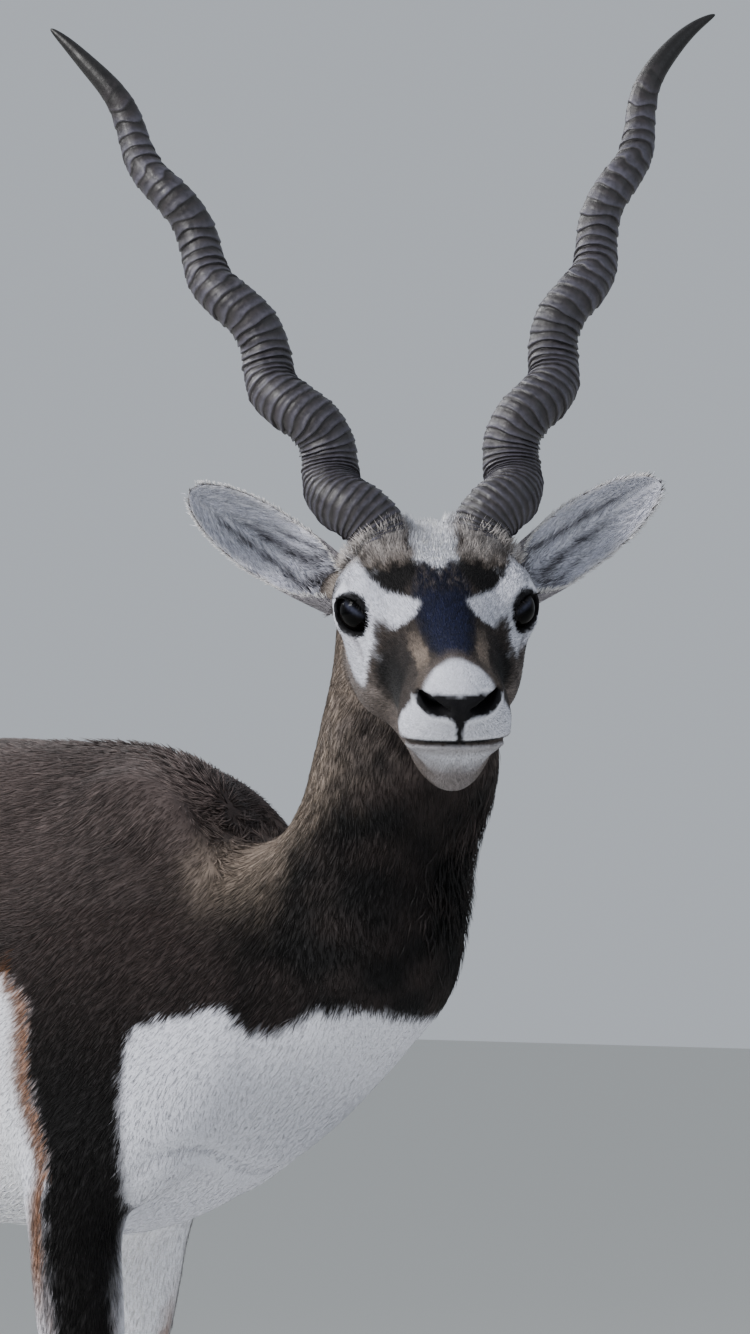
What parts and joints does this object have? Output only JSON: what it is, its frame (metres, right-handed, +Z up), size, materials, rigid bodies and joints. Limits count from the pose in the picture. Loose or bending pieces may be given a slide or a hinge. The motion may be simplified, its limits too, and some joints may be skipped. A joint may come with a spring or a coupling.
{
  "type": "blackbuck antelope",
  "caption": "Life-size still model of an adult male blackbuck standing with its head turned to its right, with long ringed spiral horns, a dark coat and a white belly.",
  "frame": {"origin": "on the ground at the middle of the animal's outline seen from above", "axes": "+X the way the body faces, +Y the animal's left, +Z up"},
  "size_m": [1.0078, 0.3604, 1.2411],
  "materials": {
    "coat": "short dark brown to black hair",
    "white_coat": "short white hair with a dark band down the outer side",
    "face": "short hair with white eye rings, muzzle and chin, and black skin at the nose",
    "ear": "thin ear with short pale hair inside",
    "horn": "ringed horn, dull with a slight sheen; matte plastic stands in for horn",
    "eye": "wet, glossy, nearly black brown",
    "hoof": "dark horn of the hooves, slightly worn"
  },
  "bodies": {
    "root": {"torso": "coat", "neck": "coat", "head": "face", "tail": "coat", "ear_left": "ear", "eye_left": "eye", "horn_left": "horn", "ear_right": "ear", "eye_right": "eye", "horn_right": "horn", "fore_left_upper": "coat", "fore_left_lower": "white_coat", "fore_left_claw_in": "hoof", "fore_left_claw_out": "hoof", "fore_right_upper": "coat", "fore_right_lower": "white_coat", "fore_right_claw_in": "hoof", "fore_right_claw_out": "hoof", "hind_left_upper": "coat", "hind_left_lower": "white_coat", "hind_left_claw_in": "hoof", "hind_left_claw_out": "hoof", "hind_right_upper": "coat", "hind_right_lower": "white_coat", "hind_right_claw_in": "hoof", "hind_right_claw_out": "hoof"}
  },
  "joints": []
}
